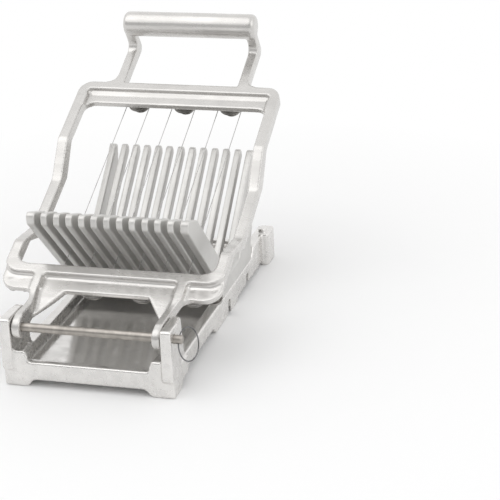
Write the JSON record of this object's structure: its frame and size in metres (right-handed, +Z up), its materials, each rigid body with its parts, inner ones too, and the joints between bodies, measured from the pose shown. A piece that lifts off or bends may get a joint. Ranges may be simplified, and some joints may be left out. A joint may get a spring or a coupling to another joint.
{
  "type": "wire cheese cutter",
  "caption": "Lever cheese cutter: cast tray base with a V-shaped fin cradle, and a hinged arm strung with taut cutting wire that swings down through the slots",
  "frame": {"origin": "on the ground, below the middle of the whole object with the arm at rest", "axes": "+X to the right along the pivot pin, +Y from the pivot to the back, +Z up"},
  "size_m": [0.167, 0.29, 0.2033],
  "materials": {
    "base_aluminium": "satin tumbled casting with soft edges",
    "cradle_aluminium": "satin casting, brushed along the fins",
    "arm_aluminium": "polished casting, brushed on the grip",
    "wire_steel": "bright drawn stainless wire",
    "roller_steel": "turned stainless steel",
    "screw_steel": "turned stainless steel, domed",
    "pin_steel": "ground steel rod, slightly browned",
    "ring_steel": "spring wire"
  },
  "bodies": {
    "base": {"base_casting": "base_aluminium", "fin_cradle": "cradle_aluminium", "cradle_screws": "screw_steel"},
    "arm": {"arm_frame": "arm_aluminium", "cutting_wire": "wire_steel", "back_roller_1": "roller_steel", "back_roller_2": "roller_steel", "back_roller_3": "roller_steel", "back_screw_1": "screw_steel", "back_screw_2": "screw_steel", "back_screw_3": "screw_steel", "front_roller_1": "roller_steel", "front_roller_2": "roller_steel", "front_roller_3": "roller_steel", "front_roller_4": "roller_steel", "front_screw_1": "screw_steel", "front_screw_2": "screw_steel", "front_screw_3": "screw_steel", "front_screw_4": "screw_steel", "left_tie_screws": "screw_steel", "right_tie_screw": "screw_steel"},
    "pin": {"pivot_pin": "pin_steel"},
    "ring": {"pull_ring": "ring_steel"}
  },
  "joints": [
    {"name": "arm_hinge", "type": "hinge", "parent": "base", "child": "arm", "pos_m": [0, -0.13603, 0.043], "axis": [1, 0, 0], "range_deg": [-26, 69]},
    {"name": "pin_slide", "type": "slide", "parent": "base", "child": "pin", "axis": [1, 0, 0], "range_m": [0, 0.13]},
    {"name": "ring_swing", "type": "hinge", "parent": "pin", "child": "ring", "pos_m": [0.066, -0.13603, 0.043], "axis": [0, 0.6428, 0.766], "range_deg": [-150, 16]}
  ]
}
